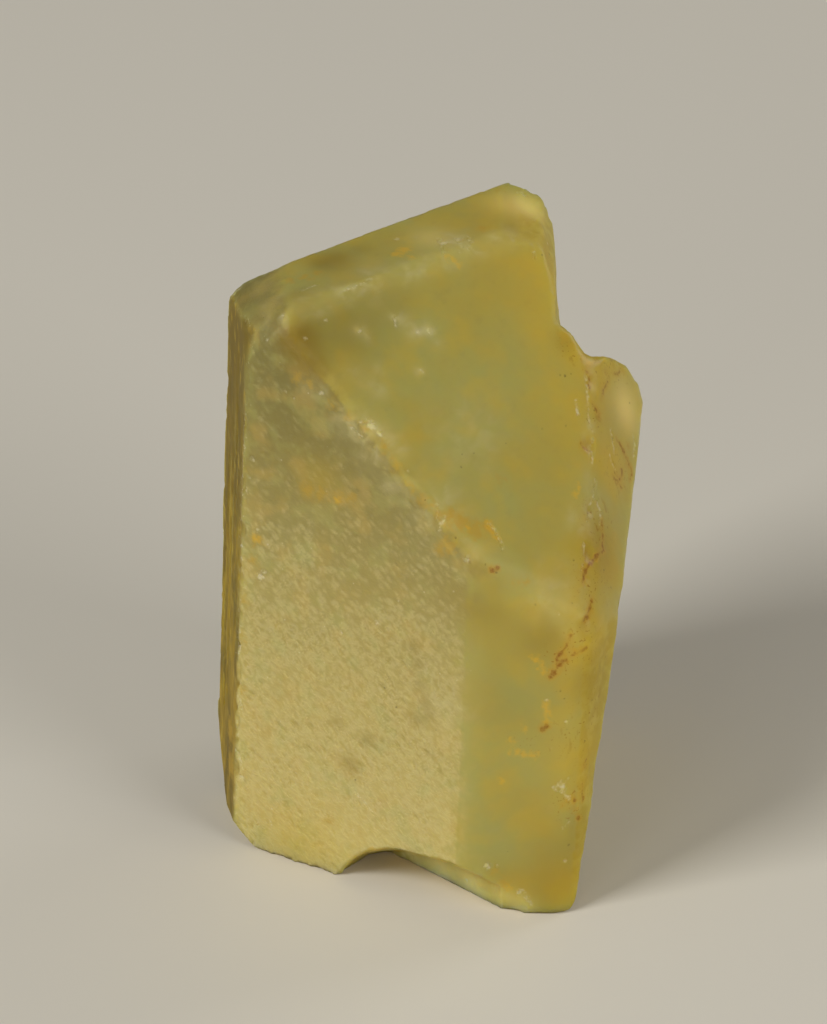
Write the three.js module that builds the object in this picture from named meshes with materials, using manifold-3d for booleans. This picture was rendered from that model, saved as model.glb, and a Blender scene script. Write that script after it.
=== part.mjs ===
// A raw topaz crystal, about 39 mm tall, standing on its broken foot.
// Millimetres, +Z up. Its front edge faces -Y, and +X is to the right of someone looking at that edge.
// It is one solid: three blocks that grew together, each bounded by flat faces, with chips, grooves and
// etch pits cut into them. Places are measured from a point low on the front edge, and the finished crystal
// is then centred over the origin.
import * as THREE from "three";
import { ConvexGeometry } from "three/addons/geometries/ConvexGeometry.js";
import { mergeVertices } from "three/addons/utils/BufferGeometryUtils.js";
import Module from "manifold-3d";

const wasm = await Module();
wasm.setup();

const AXIS_LEAN = 1.9; // degrees that the growth axis leans towards +X
const END_HEIGHT = 38.05; // height of the small flat end face
const FRONT_EDGE_HEIGHT = 25.3; // where the front edge ends and the slope begins
const BASE_HEIGHT = -0.36; // the flat base that the crystal stands on

const SAME_POINT = 1e-4; // how near two points are when they count as one
const NEARLY_PARALLEL = 1e-6; // faces that spread less than this have no corner in common

const COLOUR = 0xa89a5c;
const ROUGHNESS = 0.3;

const radians = THREE.MathUtils.degToRad;
const place = (x, y, z) => new THREE.Vector3(x, y, z);

// The outward direction of a face. Facing is degrees from the front (-Y) round towards +X, rise is
// degrees above level, and the whole leans with the growth axis unless the face is a break.
function outward(facing, rise, lean) {
  const [turn, lift] = [radians(facing), radians(rise)];
  const level = place(Math.sin(turn), -Math.cos(turn), 0).multiplyScalar(Math.cos(lift));
  return level.setZ(Math.sin(lift)).applyAxisAngle(place(0, 1, 0), radians(lean));
}

function flat(facing, rise, point, lean) {
  const normal = outward(facing, rise, lean);
  return { normal, reach: normal.dot(point) };
}

const grown = (facing, rise, point) => flat(facing, rise, point, AXIS_LEAN);
const broken = (facing, rise, point) => flat(facing, rise, point, 0);

// The point where three faces meet, or null where they don't.
function corner(a, b, c) {
  const bc = place(0, 0, 0).crossVectors(b.normal, c.normal);
  const ca = place(0, 0, 0).crossVectors(c.normal, a.normal);
  const ab = place(0, 0, 0).crossVectors(a.normal, b.normal);
  const spread = a.normal.dot(bc);
  if (Math.abs(spread) < NEARLY_PARALLEL) return null;
  const sum = bc.multiplyScalar(a.reach).addScaledVector(ca, b.reach).addScaledVector(ab, c.reach);
  return sum.divideScalar(spread);
}

// The convex block inside a list of faces.
function blockInside(faces) {
  const corners = [];
  faces.forEach((a, i) => faces.slice(i + 1).forEach((b, j) => faces.slice(i + j + 2).forEach((c) => {
    const point = corner(a, b, c);
    if (point && faces.every((f) => f.normal.dot(point) < f.reach + SAME_POINT)) corners.push(point);
  })));
  return new ConvexGeometry(corners);
}

function solidOf(geometry) {
  const bare = geometry.clone();
  bare.deleteAttribute("normal");
  bare.deleteAttribute("uv");
  const merged = mergeVertices(bare, SAME_POINT);
  return new wasm.Manifold(new wasm.Mesh({
    numProp: 3,
    vertProperties: merged.attributes.position.array,
    triVerts: new Uint32Array(merged.index.array),
  }));
}

function geometryOf(solid) {
  const { vertProperties, triVerts } = solid.getMesh();
  const geometry = new THREE.BufferGeometry();
  geometry.setAttribute("position", new THREE.BufferAttribute(new Float32Array(vertProperties), 3));
  geometry.setIndex(new THREE.BufferAttribute(new Uint32Array(triVerts), 1));
  return geometry;
}

// The faces round the front. The matte face is etched, the slope and the glassy face are smooth, and
// the striated face is the narrow one on the left.
const frontEdgeFoot = place(0, 0, 0);
const leftEdgeFoot = place(-13.95, 8.38, 0);
const rightEdgeFoot = place(7.64, -0.27, 0);
const matte = grown(-31, 0, frontEdgeFoot);
const glassy = grown(-2, 0, frontEdgeFoot);
const striated = grown(-77.5, 0, leftEdgeFoot);
const slope = grown(38, 47, place(0.82, 0, FRONT_EDGE_HEIGHT));
const end = grown(0, 90, place(0, 14, END_HEIGHT));
const base = broken(0, -90, place(0, 0, BASE_HEIGHT));

// The faces round the back. Two repeat the front pair's directions, as a prism's faces do.
const backSlope = grown(-140, 47, place(-2.7, 20.6, 38.14));
const backLeft = grown(-133, 0, place(-15.2, 14, 0));
const back = grown(178, 0, place(2, 26.2, 0));
const backRight = grown(149, 0, place(6, 25.6, 0));

// The tall block's own breaks: its right side, its rounded top right corner and its worn left corners.
const rightBreak = broken(90, 4.3, place(6.45, 15.5, 33.4));
const topRightRounding = [
  broken(90, 22, place(6.0, 25, 35.7)),
  broken(90, 44, place(5.45, 25, 36.8)),
  broken(90, 66, place(4.0, 25, 37.5)),
];
const topLeftBevel = grown(-85, 55, place(-10.6, 9, 38.45));
const topLeftCorner = broken(-110, 40, place(-13.3, 11, 38));
const lowLeftChip = broken(-88, -5, place(-15.15, 12, 9));
const lowLeftCorner = broken(-75, -38, place(-14.5, 10.6, 1.15));
const lowLeftFoot = broken(-50, -60, place(-12.9, 7.5, -0.3));

// The shoulder is the step below the broken corner. It shares the slope, the glassy face and the back.
const shoulderSide = grown(90, 0, place(7.75, 5, 0));
const shoulderTop = [
  broken(132, 42, place(6.49, 15.56, 33.45)),
  broken(110, 26.5, place(7.31, 15.46, 32.87)),
];

function tallBlock() {
  return solidOf(blockInside([
    matte, glassy, striated, slope, end, base, backSlope, backLeft, back, backRight, rightBreak,
    shoulderSide, ...topRightRounding, topLeftBevel, topLeftCorner, lowLeftChip, lowLeftCorner, lowLeftFoot,
  ]));
}

function shoulderBlock() {
  const inner = broken(-90, 0, place(6, 10, 10));
  return solidOf(blockInside([
    glassy, slope, base, back, backRight, lobeFront, shoulderSide, ...shoulderTop, inner,
  ]));
}

// The lobe is a crystal that grew against the right side, with a rounded top.
const lobeFront = grown(65, 0, rightEdgeFoot);
const lobeSlope = grown(70, 25, place(8.5, 5.2, 24.5));
const lobeSide = broken(87, -7.4, place(11.94, 17.4, 26.1));
const lobeTop = [
  broken(-156, 48, place(8.42, 14.33, 31.85)),
  broken(158, 50, place(9.72, 16.4, 30.63)),
  broken(112.5, 29, place(10.83, 17.73, 29.24)),
  broken(98, 14, place(11.67, 18.03, 27.63)),
];

function lobeBlock() {
  const inner = broken(-90, 0, place(7, 10, 10));
  return solidOf(blockInside([
    glassy, slope, base, back, backRight, lobeFront, lobeSlope, lobeSide, ...lobeTop, inner,
  ]));
}

// The front of the foot is broken away in two shell-like chips side by side. Each one's upper rim runs over
// the matte or glassy face, its lower rim runs back across the foot, and its back wall stands on that rim.
// The outer points lie clear of the stone.
const largeChip = {
  upperRim: [
    place(-6.6, 4.0, 0.9), place(-5.4, 3.3, 2.2), place(-3.9, 2.4, 2.95), place(-2.6, 1.6, 3.15),
    place(-0.6, 0.4, 3.3), place(1.3, -0.04, 2.6), place(3.0, -0.1, 1.7),
  ],
  backWall: [
    place(-3.2, 6.2, 0.5), place(-2.2, 5.2, 1.0), place(0.4, 2.75, 1.6), place(2.2, 1.1, 1.45),
  ],
  lowerRim: [
    place(-7.0, 4.9, BASE_HEIGHT), place(-5.3, 6.9, BASE_HEIGHT), place(-4.1, 7.2, BASE_HEIGHT),
    place(3.0, 0.5, BASE_HEIGHT),
  ],
  outerPoints: [
    place(-7.4, 0, -1.4), place(-5, 1, 1.5), place(3.0, -3, -1.4),
    place(2, -3, 1.5), place(-4.4, 5.8, -1.4), place(-7.1, 4.9, -1.4),
  ],
};
const smallChip = {
  upperRim: [place(2.6, -0.08, 1.6), place(3.0, -0.1, 1.7), place(4.6, -0.16, 0.4)],
  backWall: [],
  lowerRim: [place(2.6, 0.3, BASE_HEIGHT), place(3.0, 0.5, BASE_HEIGHT), place(4.3, -0.02, BASE_HEIGHT)],
  outerPoints: [
    place(2.6, -3, -1.4), place(2.6, -3, 1.5), place(4.6, -3, -1.4), place(2.8, 0.2, -1.4),
    place(4.3, -0.2, -1.4),
  ],
};

const footChip = ({ upperRim, backWall, lowerRim, outerPoints }) =>
  solidOf(new ConvexGeometry([...upperRim, ...backWall, ...lowerRim, ...outerPoints]));

// A step under the back left of the foot, where the cleavage jumps up to the next layer.
const STEP_HEIGHT = 0.45;
const STEP_LENGTH = 30;
const STEP_WIDTH = 14;
const STEP_TURN = 28; // degrees from +X to the step's front edge
const STEP_TIP = 2; // degrees that the step tips up to its back
const STEP_MIDDLE = place(-9, 24, BASE_HEIGHT);

function cleavageStep() {
  const layer = new THREE.BoxGeometry(STEP_LENGTH, STEP_WIDTH, 2 * STEP_HEIGHT);
  layer.rotateX(radians(STEP_TIP));
  layer.rotateZ(radians(STEP_TURN));
  layer.translate(STEP_MIDDLE.x, STEP_MIDDLE.y, STEP_MIDDLE.z);
  return solidOf(layer);
}

// The point where two faces meet at a height.
const onEdge = (a, b, height) => corner(a, b, broken(0, 90, place(0, 0, height)));

// Chips along the edges: the two faces, the height, the chip's radius, how deep it bites below the edge,
// and how many times longer it is upwards than across. Each side of a chip's shell is split this many times.
const CHIP_SPLITS = 1;
const edgeChips = [
  [matte, striated, 33.6, 0.8, 0.22, 1.6],
  [matte, striated, 30.4, 0.6, 0.2, 1.2],
  [matte, striated, 26.0, 0.7, 0.16, 2.2],
  [matte, striated, 22.6, 0.7, 0.26, 1.3],
  [matte, striated, 19.2, 0.6, 0.18, 1.4],
  [matte, striated, 16.6, 0.5, 0.18, 1.0],
  [matte, striated, 12.4, 0.8, 0.2, 2.0],
  [matte, striated, 8.6, 0.6, 0.22, 1.2],
  [matte, striated, 5.2, 0.7, 0.24, 1.5],
  [matte, slope, 35.6, 0.8, 0.2, 1.0],
  [matte, slope, 33.1, 1.1, 0.3, 1.0],
  [matte, slope, 30.6, 0.6, 0.18, 1.0],
  [matte, slope, 28.4, 1.2, 0.34, 1.0],
  [matte, slope, 26.4, 0.7, 0.2, 1.0],
  [slope, glassy, 24.6, 0.9, 0.2, 0.8],
  [slope, glassy, 23.0, 0.5, 0.14, 0.9],
  [slope, lobeSlope, 30.4, 0.6, 0.2, 1.0],
  [slope, lobeSlope, 28.0, 0.8, 0.26, 1.2],
  [slope, lobeSlope, 25.4, 0.6, 0.2, 1.3],
  [slope, lobeSlope, 23.6, 0.9, 0.3, 1.1],
  [glassy, lobeFront, 16.4, 0.5, 0.18, 1.8],
  [glassy, lobeFront, 10.2, 0.6, 0.2, 1.3],
  [glassy, lobeFront, 6.4, 0.5, 0.2, 1.6],
  [glassy, lobeFront, 0.3, 0.6, 0.24, 1.0],
  [slope, end, 38.15, 0.9, 0.22, 0.7],
  [backSlope, end, 38.45, 0.7, 0.16, 0.8],
  [backSlope, end, 38.2, 0.9, 0.2, 0.8],
  [backLeft, striated, 30.0, 0.8, 0.24, 2.0],
  [backLeft, striated, 14.0, 1.0, 0.28, 2.4],
  [backLeft, back, 24.0, 1.1, 0.3, 1.6],
  [backLeft, back, 8.0, 0.8, 0.24, 1.4],
  [back, backRight, 19.0, 0.9, 0.26, 1.8],
];

function edgeChip([a, b, height, radius, bite, stretch]) {
  const away = a.normal.clone().add(b.normal).normalize();
  const centre = onEdge(a, b, height).addScaledVector(away, radius - bite);
  const shell = new THREE.IcosahedronGeometry(radius, CHIP_SPLITS);
  shell.scale(1, 1, stretch);
  shell.translate(centre.x, centre.y, centre.z);
  return solidOf(shell);
}

// The directions of a face: level to its right, up along it, and out of it.
function directionsOf(cutFace) {
  const right = place(0, 0, 1).cross(cutFace.normal).normalize();
  const along = cutFace.normal.clone().cross(right);
  return { right, along, out: cutFace.normal };
}

// Ledges in the broken right side and the back. The stone cleaves across its length, so each break is a
// shallow slant that starts at the surface and ends below in a level step. Each has the face it is in, a
// point beside its middle, its length and height, how far its middle bites in, and the degrees that it
// turns deeper to the face's right and tips deeper downwards.
const LEDGE_REACH = 2; // how far each cutting block stands out, clear of the face
const ledges = [
  [lobeSide, place(9, 17, 7.4), 14, 11, 0.3, 2.5, 3],
  [lobeSide, place(9, 19.5, 18.6), 12, 11, 0.32, 3, 3.2],
  [lobeSide, place(9, 10.5, 17.5), 8, 8, 0.2, 2.8, 2.8],
  [backRight, place(8, 24, 10), 8, 12, 0.26, 3, 2.5],
  [backRight, place(8, 24, 23), 7, 9, 0.2, -3, 2.5],
  [backSlope, place(-9, 18, 33), 9, 6, 0.22, 2.8, 4],
];

function ledge([brokenFace, beside, length, height, bite, turn, tip]) {
  const { right, along, out } = directionsOf(brokenFace);
  const middle = beside.clone().addScaledVector(out, brokenFace.reach - out.dot(beside) - bite);
  const block = new THREE.BoxGeometry(length, height, LEDGE_REACH);
  block.translate(0, 0, LEDGE_REACH / 2);
  block.rotateX(radians(tip));
  block.rotateY(radians(turn));
  block.applyMatrix4(new THREE.Matrix4().makeBasis(right, along, out));
  block.translate(middle.x, middle.y, middle.z);
  return solidOf(block);
}

// A generator of numbers from low to high that gives the same run in every build. Each number comes from
// the one before, times a fixed factor and plus a fixed term, kept within a range.
const DRAW_FACTOR = 1664525;
const DRAW_TERM = 1013904223;
const DRAW_RANGE = 2 ** 32;

function seeded(seed) {
  let state = seed;
  return ([low, high]) => {
    state = (state * DRAW_FACTOR + DRAW_TERM) % DRAW_RANGE;
    return low + (high - low) * (state / DRAW_RANGE);
  };
}

// Thin grooves along the growth axis, each cut by a long three-sided bar laid over the face.
const GROOVE_DEPTH = 0.15;
const GROOVE_SEED = 7;
const GROOVE_PLACES = [0.3, 0.7]; // where a groove runs within its own share of the face's width
const GROOVE_STARTS = [3, 14]; // height of a groove's lower end
const GROOVE_SHORTEST = 9;
const GROOVE_TOP = 36; // the highest that a groove ends
const GROOVE_HALF_WIDTHS = [0.3, 0.5];
const BAR_SIDES = 3;
const BAR_HALF_WIDTH = Math.sin(radians(60)); // of a three-sided bar of radius 1
const BAR_HEIGHT = 1.5; // from such a bar's lower edge to its flat top

function groove(cutFace, start, low, high, width) {
  const { right, along, out } = directionsOf(cutFace);
  const bar = new THREE.CylinderGeometry(1, 1, high - low, BAR_SIDES);
  bar.rotateX(radians(90));
  bar.scale(width / BAR_HALF_WIDTH, (2 * GROOVE_DEPTH) / BAR_HEIGHT, 1);
  bar.applyMatrix4(new THREE.Matrix4().makeBasis(right.clone().negate(), out, along));
  const lift = (2 * GROOVE_DEPTH) / BAR_HEIGHT - GROOVE_DEPTH;
  const centre = start.clone().addScaledVector(along, (low + high) / 2).addScaledVector(out, lift);
  bar.translate(centre.x, centre.y, centre.z);
  return solidOf(bar);
}

// Grooves spread over one face, from its edge with the face before to its edge with the face after. Draw
// gives a number from a range.
function groovesOn(cutFace, before, after, count, draw) {
  const start = onEdge(before, cutFace, 0);
  const finish = onEdge(cutFace, after, 0);
  return Array.from({ length: count }, (_, i) => {
    const footOfGroove = start.clone().lerp(finish, (i + draw(GROOVE_PLACES)) / count);
    const low = draw(GROOVE_STARTS);
    const high = draw([low + GROOVE_SHORTEST, GROOVE_TOP]);
    return groove(cutFace, footOfGroove, low, high, draw(GROOVE_HALF_WIDTHS));
  });
}

function grooves() {
  const draw = seeded(GROOVE_SEED);
  return [
    ...groovesOn(striated, matte, backLeft, 7, draw),
    ...groovesOn(backLeft, striated, back, 9, draw),
    ...groovesOn(back, backLeft, backRight, 7, draw),
  ];
}

// Etch pits in the matte face: long narrow dimples that all slant down to the right. The list starts
// with more than are kept, because those near the slope are left out.
const PITS_TRIED = 130;
const PIT_SEED = 21;
const PIT_PLACES_ALONG = [-15.4, -0.7]; // to the face's right, from the front edge
const PIT_PLACES_UP = [4.5, 37];
const PIT_HALF_LENGTHS = [0.35, 0.7];
const PIT_HALF_WIDTHS = [0.1, 0.17];
const PIT_DEPTHS = [0.14, 0.24];
const PIT_SLANT = -30; // degrees from level, along the face
const PIT_SLANT_SPREAD = [-10, 10];
const PIT_MARGIN = 0.5; // clear distance from the slope

function etchPits() {
  const draw = seeded(PIT_SEED);
  const { right, along, out } = directionsOf(matte);
  const onFace = new THREE.Matrix4().makeBasis(right, along, out);
  const pits = [];
  for (let i = 0; i < PITS_TRIED; i++) {
    const centre = place(draw(PIT_PLACES_ALONG), draw(PIT_PLACES_UP), 0).applyMatrix4(onFace);
    const pit = new THREE.OctahedronGeometry(1, 0);
    pit.scale(draw(PIT_HALF_LENGTHS), draw(PIT_HALF_WIDTHS), draw(PIT_DEPTHS));
    pit.rotateZ(radians(PIT_SLANT + draw(PIT_SLANT_SPREAD)));
    pit.applyMatrix4(onFace);
    pit.translate(centre.x, centre.y, centre.z);
    if (slope.normal.dot(centre) < slope.reach - PIT_MARGIN) pits.push(solidOf(pit));
  }
  return pits;
}

function crystal() {
  const grownTogether = tallBlock().add(shoulderBlock()).add(lobeBlock());
  const footChips = [largeChip, smallChip].map(footChip);
  const breaks = [...footChips, cleavageStep(), ...ledges.map(ledge), ...edgeChips.map(edgeChip)];
  const cuts = [...breaks, ...grooves(), ...etchPits()];
  return cuts.reduce((solid, cut) => solid.subtract(cut), grownTogether);
}

// Moves the crystal so that its box is centred over the origin and its foot is at height zero.
function centred(geometry) {
  geometry.computeBoundingBox();
  const { min, max } = geometry.boundingBox;
  return geometry.translate(-(min.x + max.x) / 2, -(min.y + max.y) / 2, -min.z);
}

const geometry = centred(geometryOf(crystal()));
geometry.computeVertexNormals();
const stone = new THREE.MeshStandardMaterial({ color: COLOUR, roughness: ROUGHNESS, metalness: 0 });
const topaz = new THREE.Mesh(geometry, stone);
topaz.name = "topaz_crystal";

const specimen = new THREE.Group();
specimen.add(topaz);
export default specimen;
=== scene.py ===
import math

import bmesh
import bpy
import numpy as np
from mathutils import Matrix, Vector, noise
from mathutils.bvhtree import BVHTree
from mathutils.kdtree import KDTree


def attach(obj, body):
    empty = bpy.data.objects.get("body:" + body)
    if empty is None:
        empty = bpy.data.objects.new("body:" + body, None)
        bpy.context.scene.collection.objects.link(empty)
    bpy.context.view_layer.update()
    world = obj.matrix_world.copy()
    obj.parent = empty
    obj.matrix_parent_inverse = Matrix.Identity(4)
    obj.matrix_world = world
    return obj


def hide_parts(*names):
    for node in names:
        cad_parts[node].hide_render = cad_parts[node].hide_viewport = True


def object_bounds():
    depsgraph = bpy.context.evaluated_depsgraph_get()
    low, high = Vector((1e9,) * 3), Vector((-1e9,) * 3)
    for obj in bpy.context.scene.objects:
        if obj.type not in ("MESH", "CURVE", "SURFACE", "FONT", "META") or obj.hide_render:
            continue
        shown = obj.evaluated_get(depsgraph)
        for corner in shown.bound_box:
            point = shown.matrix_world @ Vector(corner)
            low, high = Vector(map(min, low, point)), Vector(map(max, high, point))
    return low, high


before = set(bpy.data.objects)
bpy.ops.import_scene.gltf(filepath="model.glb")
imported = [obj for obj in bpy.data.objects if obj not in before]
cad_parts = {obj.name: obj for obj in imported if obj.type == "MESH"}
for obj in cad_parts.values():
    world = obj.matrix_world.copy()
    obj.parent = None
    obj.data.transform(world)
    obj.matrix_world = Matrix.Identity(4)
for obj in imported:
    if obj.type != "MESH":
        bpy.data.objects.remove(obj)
cad_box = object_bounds()
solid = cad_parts["topaz_crystal"]

# Lengths are in metres, and MM turns millimetres into them.
MM = 0.001

# The photograph and the camera that saw it: its size in pixels, and pixels to a millimetre of the stone.
PICTURE_WIDTH = 827
PICTURE_HEIGHT = 1024
PIXELS_PER_MM = 16
CAMERA_DISTANCE = 600 * MM
CAMERA_RISE = math.radians(30)
CAMERA_AIM = Vector((-0.98, -3.06, 23.32)) * MM
SENSOR_SIZE = 36
TOWARDS_CAMERA = Vector((0, -math.cos(CAMERA_RISE), math.sin(CAMERA_RISE)))
PICTURE_UP = Vector((0, math.sin(CAMERA_RISE), math.cos(CAMERA_RISE)))
PICTURE_RIGHT = Vector((1, 0, 0))

# The soft lights: where each stands, its width in metres, its watts and whether it shows in the gloss.
LIGHTS = {
    "key": ((-0.5, -0.35, 0.6), 0.3, 4.2, True),
    "fill": ((0.6, -0.5, 0.4), 0.5, 3.1, False),
    "low": ((-0.3, -0.65, 0.07), 0.2, 1.6, False),
    "rim": ((0.6, 0.4, 0.3), 0.3, 1.3, False),
}
ROOM_COLOUR = (1.0, 0.97, 0.92, 1)
ROOM_LIGHT = 0.14
FLOOR_COLOUR = (0.66, 0.62, 0.53, 1)
FLOOR_ROUGHNESS = 0.6
FLOOR_REACH = 5

# The prism's own axis leans a little to the right of upright.
AXIS_LEAN = math.radians(1.9)

# The crystal's faces: degrees that each faces round from the front towards the right, and degrees that it
# looks up from level, about the leaning axis.
MATTE = (-31, 0)
MATTE_BEVEL = (-85, 55)
GLASSY = (-2, 0)
STRIATED = (-77.5, 0)
SLOPE = (38, 47)
END = (0, 90)
LOBE_FRONT = (65, 0)
LOBE_SLOPE = (70, 25)
BACK_SLOPE = (-140, 47)
BACK_LEFT = (-133, 0)
BACK = (178, 0)

# The kinds of surface, and the faces that have them. What lies on no face is broken.
SURFACES = {
    "etched": (MATTE, MATTE_BEVEL),
    "striated": (STRIATED, BACK_LEFT, BACK),
    "glassy": (GLASSY, SLOPE, END, BACK_SLOPE, LOBE_SLOPE),
}
# How far from every face's plane the surface starts and ends to count as broken, what being turned square
# to a face adds to the distance, and how widely and raggedly one kind of surface gives way to the next.
BROKEN_NEAR = 0.25 * MM
BROKEN_FAR = 0.5 * MM
TURNED_AWAY = 1.0 * MM
BLEND = 0.28 * MM
MOST_BLENDS = 20
RAGGED = 0.3 * MM
RAGGED_SIZE = 0.8 * MM
SAME_PLANE = math.cos(math.radians(1.5))

# How squarely the surface faces a face's way where that face's own marks start and are whole: the matte
# face's etch pits, and the narrow side's brown streaks.
OWN_MARKS = {
    "pitted": ("etched", MATTE, 0.8, 0.95),
    "browned": ("striated", STRIATED, 0.75, 0.95),
}

# Unevenness along edges and borders: how much its finer waves weaken, how much finer each is, and how many.
UNEVEN_WAVES = (1, 2, 3)

# How near two corners of the solid are when they count as one.
SAME_POINT = 2e-5 * MM

# The mesh's squares. They are halved on the side that the photograph shows, and again on the etched face
# and round the fine marks.
MESH_STEP = 0.5 * MM
MARK_REACH = 0.4 * MM
ON_FACE = 0.2 * MM
FACING_ALIKE = 0.9
SEEN_FACING = 0.02

# Edges between faces that are worn round, with how widely. The width varies along them: its usual share,
# how much that varies, over what length, and its least and most. Passes even the mesh along them.
ROUNDED_EDGES = (
    (MATTE, SLOPE, 0.7 * MM), (MATTE, GLASSY, 0.9 * MM), (GLASSY, SLOPE, 1.9 * MM), (SLOPE, END, 0.5 * MM),
    (MATTE, MATTE_BEVEL, 2.6 * MM), (MATTE_BEVEL, END, 0.7 * MM), (GLASSY, LOBE_FRONT, 1.5 * MM),
    (SLOPE, LOBE_SLOPE, 0.9 * MM), (LOBE_FRONT, LOBE_SLOPE, 0.6 * MM), (SLOPE, LOBE_FRONT, 0.9 * MM),
)
USUAL_WIDTH = 0.85
WIDTH_SPREAD = 0.4
WIDTH_STRETCH = 2.4 * MM
WIDTH_LIMITS = (0.3, 1.2)
EVENING_PASSES = 30
EVENING_SHARE = 0.5

# Edges with many small chips and with few, each with how far from the edge that reaches. Other edges are
# worn by this share of the most.
CHIPPED_EDGES = ((MATTE, STRIATED, 0.9 * MM), (STRIATED, MATTE_BEVEL, 0.9 * MM), (MATTE, SLOPE, 0.8 * MM))
SMOOTH_EDGES = ((GLASSY, SLOPE, 2.2 * MM), (MATTE, GLASSY, 1.0 * MM), (GLASSY, LOBE_FRONT, 1.4 * MM))
USUAL_WEAR = 0.4

# Edges with sparkling flecks that are partly painted sparkle, worn dull, with a dark band that is partly
# stain and partly painted shade, and clouded, with the same reach.
EDGE_LOOKS = {
    "sparkling": ((MATTE, STRIATED, 0.7 * MM), (STRIATED, MATTE_BEVEL, 0.7 * MM)),
    "dull": (
        (GLASSY, SLOPE, 2.2 * MM), (MATTE, SLOPE, 1.4 * MM), (GLASSY, LOBE_FRONT, 2.0 * MM),
        (MATTE, GLASSY, 1.4 * MM),
    ),
    "stained_and_shaded": ((MATTE, SLOPE, 1.3 * MM),),
    "clouded": ((SLOPE, END, 1.0 * MM),),
}

# Worn edges: the solid's long creases.
CREASE_TURN = math.cos(math.radians(24))
CREASE_LENGTH = 1.2 * MM
CREASE_STEP = 0.15 * MM

# Marks on the stone, placed by the column and row where the photograph shows them. Spots end with a
# radius in millimetres, and lines start with a half width.
TAN_PATCHES = (
    (452, 514, 0.45), (462, 522, 0.6), (474, 529, 0.65), (486, 528, 0.5), (447, 546, 0.5), (440, 550, 0.35),
    (408, 483, 0.25), (423, 498, 0.3), (308, 490, 0.5), (322, 494, 0.4), (340, 500, 0.45), (352, 497, 0.3),
    (565, 336, 0.45), (572, 344, 0.35), (590, 362, 0.5), (600, 358, 0.5), (612, 360, 0.45),
    (622, 368, 0.35), (592, 373, 0.3), (606, 369, 0.3), (257, 541, 0.4), (252, 560, 0.3), (290, 280, 0.4),
    (305, 277, 0.35), (318, 273, 0.3), (499, 189, 0.25), (416, 219, 0.2), (572, 800, 0.35), (565, 804, 0.3),
    (505, 884, 0.4), (494, 872, 0.25), (585, 574, 0.35), (590, 562, 0.35), (597, 556, 0.3), (604, 551, 0.3),
    (398, 853, 0.5), (408, 858, 0.4), (330, 821, 0.3), (620, 477, 0.4), (628, 466, 0.4), (482, 228, 0.25),
    (543, 229, 0.25), (593, 612, 0.3), (578, 652, 0.35), (566, 656, 0.3), (556, 668, 0.35), (598, 410, 0.3),
    (587, 447, 0.3), (548, 258, 0.25), (578, 812, 0.3), (586, 768, 0.25), (500, 480, 0.2), (297, 378, 0.3),
    (309, 384, 0.3), (332, 404, 0.25), (349, 418, 0.25), (366, 429, 0.3), (385, 446, 0.25), (396, 464, 0.3),
    (414, 490, 0.25), (432, 506, 0.25), (439, 514, 0.3), (449, 527, 0.3), (230, 730, 0.8), (231, 765, 0.8),
    (243, 600, 0.3), (243, 640, 0.3), (242, 690, 0.3), (518, 585, 0.2), (526, 582, 0.15),
)
ORANGE_SPOTS = (
    (404, 250, 0.45), (397, 254, 0.35), (411, 257, 0.25), (490, 527, 0.28), (495, 535, 0.25),
    (468, 528, 0.15), (536, 660, 0.28), (541, 668, 0.22), (545, 672, 0.15), (545, 706, 0.16),
    (546, 714, 0.14), (525, 729, 0.16), (512, 740, 0.18), (518, 752, 0.25), (530, 753, 0.2),
    (500, 780, 0.2), (577, 494, 0.24), (578, 486, 0.15), (454, 260, 0.18), (256, 539, 0.25),
    (591, 361, 0.25), (604, 358, 0.2), (580, 651, 0.15), (596, 558, 0.2), (572, 803, 0.18),
    (508, 887, 0.18), (338, 500, 0.2),
)
ORANGE_LINES = (
    (0.14, (546, 702), (547, 712), (547, 722)), (0.12, (488, 522), (494, 529), (497, 538)),
    (0.12, (536, 655), (540, 663), (545, 671)), (0.15, (512, 752), (524, 755), (536, 755)),
    (0.12, (447, 256), (455, 261), (459, 265)), (0.15, (371, 850), (378, 850), (385, 849)),
)
RUST_LINES = (
    (0.05, (571, 635), (568, 645), (561, 652), (557, 658), (558, 663)),
    (0.09, (564, 660), (558, 667), (552, 675)), (0.06, (589, 648), (581, 652), (572, 655)),
    (0.05, (603, 536), (602, 545), (604, 551)),
    (0.07, (603, 550), (597, 556), (591, 564), (587, 573), (584, 581)),
    (0.05, (622, 470), (621, 478), (617, 482)), (0.04, (613, 477), (618, 482), (621, 487)),
    (0.05, (617, 440), (621, 446), (625, 455), (629, 464)), (0.05, (630, 466), (632, 474), (630, 479)),
    (0.05, (582, 444), (586, 448), (590, 450)), (0.05, (594, 600), (592, 610), (590, 620)),
    (0.04, (609, 379), (604, 389), (601, 398)), (0.07, (594, 405), (597, 410), (599, 416)),
    (0.04, (588, 760), (586, 766)), (0.04, (584, 786), (583, 793), (584, 801)),
    (0.04, (614, 374), (620, 372)), (0.04, (602, 520), (602, 532)), (0.04, (590, 376), (591, 388)),
)
RUST_SPOTS = (
    (494, 571, 0.14), (498, 568, 0.1), (543, 728, 0.16), (548, 726, 0.1), (577, 802, 0.1), (581, 819, 0.07),
    (554, 672, 0.13), (562, 662, 0.12), (566, 659, 0.1), (550, 677, 0.12), (592, 617, 0.12),
    (602, 547, 0.1), (587, 767, 0.07), (583, 797, 0.08), (585, 574, 0.08), (596, 556, 0.08),
    (628, 446, 0.08), (587, 371, 0.08),
)
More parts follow.
